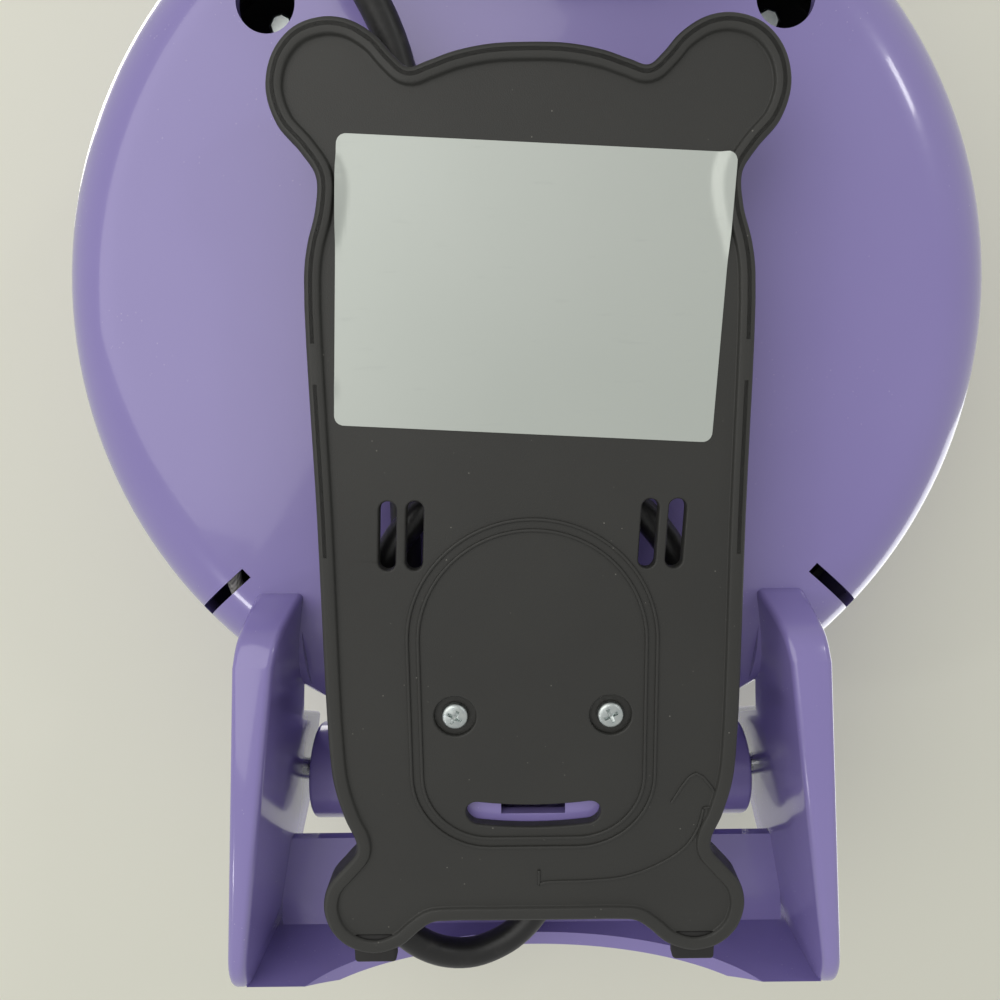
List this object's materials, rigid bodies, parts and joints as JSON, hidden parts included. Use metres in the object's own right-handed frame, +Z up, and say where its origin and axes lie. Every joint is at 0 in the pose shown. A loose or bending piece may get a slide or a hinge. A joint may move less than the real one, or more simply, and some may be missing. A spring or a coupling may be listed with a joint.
{
  "type": "cake pop maker",
  "caption": "Round countertop cake pop maker with a hinged lid, ball cavities in two heated plates and a cord-wrap base plate under the bowl.",
  "frame": {"origin": "middle of the object's footprint on the table, cord left out", "axes": "+Z up from the table, -Y to the front where the handles are, +X to the right seen from the front"},
  "size_m": [0.232, 0.3248, 0.1075],
  "materials": {
    "purple_gloss": "glossy moulded heat-resistant plastic",
    "black_matt": "fine-textured moulded plastic",
    "black_rubber": "matt",
    "silver_label": "satin silver polyester film",
    "zinc_plate": "zinc-plated steel",
    "nonstick_black": "cast aluminium with a non-stick coating",
    "element_sheath": "oxidised steel sheath",
    "aluminised_sheet": "aluminised steel sheet",
    "phenolic_brown": "moulded phenolic",
    "glass_sleeve": "woven glass sleeving",
    "white_ceramic": "unglazed",
    "lead_sleeve": "braided glass sleeving",
    "steel_pin": "turned steel",
    "black_grip": "satin moulded plastic",
    "black_cord": "smooth cord sheath",
    "nickel_brass": "nickel-plated brass",
    "red_lens": "clear tinted plastic",
    "green_lens": "clear tinted plastic",
    "neon_lamp": "clear glass"
  },
  "bodies": {
    "base": {"lower_housing": "purple_gloss", "base_plate": "black_matt", "base_plate_screw_left": "zinc_plate", "base_plate_screw_right": "zinc_plate", "upright_foot_left": "black_rubber", "upright_foot_right": "black_rubber", "rating_label": "silver_label", "lower_baking_plate": "nonstick_black", "lower_heating_element": "element_sheath", "lower_element_clamp": "aluminised_sheet", "lower_element_clamp_screw_1": "zinc_plate", "lower_element_clamp_screw_2": "zinc_plate", "lower_element_clamp_screw_3": "zinc_plate", "lower_heat_shield": "aluminised_sheet", "lower_plate_screw_1": "zinc_plate", "lower_plate_screw_2": "zinc_plate", "lower_plate_screw_3": "zinc_plate", "lower_plate_screw_4": "zinc_plate", "thermostat": "phenolic_brown", "thermal_fuse": "glass_sleeve", "terminal_block": "white_ceramic", "live_lead": "lead_sleeve", "neutral_lead": "lead_sleeve", "hinge_pin_left": "steel_pin", "hinge_pin_right": "steel_pin", "lower_handle": "black_grip", "lower_handle_screw_left": "zinc_plate", "lower_handle_screw_right": "zinc_plate", "strain_relief": "black_rubber", "cord_loop": "black_cord", "cord_winding": "black_cord", "cord_tail": "black_cord", "plug_body": "black_cord", "plug_blade_left": "nickel_brass", "plug_blade_right": "nickel_brass"},
    "lid": {"upper_housing": "purple_gloss", "upper_baking_plate": "nonstick_black", "upper_heating_element": "element_sheath", "upper_element_clamp": "aluminised_sheet", "upper_element_clamp_screw_1": "zinc_plate", "upper_element_clamp_screw_2": "zinc_plate", "upper_element_clamp_screw_3": "zinc_plate", "upper_heat_shield": "aluminised_sheet", "upper_plate_screw_1": "zinc_plate", "upper_plate_screw_2": "zinc_plate", "upper_plate_screw_3": "zinc_plate", "upper_plate_screw_4": "zinc_plate", "upper_handle": "black_grip", "upper_handle_screw_left": "zinc_plate", "upper_handle_screw_right": "zinc_plate", "power_lens": "red_lens", "power_lamp": "neon_lamp", "ready_lens": "green_lens", "ready_lamp": "neon_lamp", "latch_pin": "zinc_plate"},
    "latch": {"latch": "black_grip"}
  },
  "joints": [
    {"name": "lid_hinge", "type": "hinge", "parent": "base", "child": "lid", "pos_m": [0, 0.1204, 0.049], "axis": [-1, 0, 0], "range_deg": [0, 105]},
    {"name": "latch_pivot", "type": "hinge", "parent": "lid", "child": "latch", "pos_m": [0, -0.1594, 0.0655], "axis": [1, 0, 0], "range_deg": [-60, 12]}
  ]
}
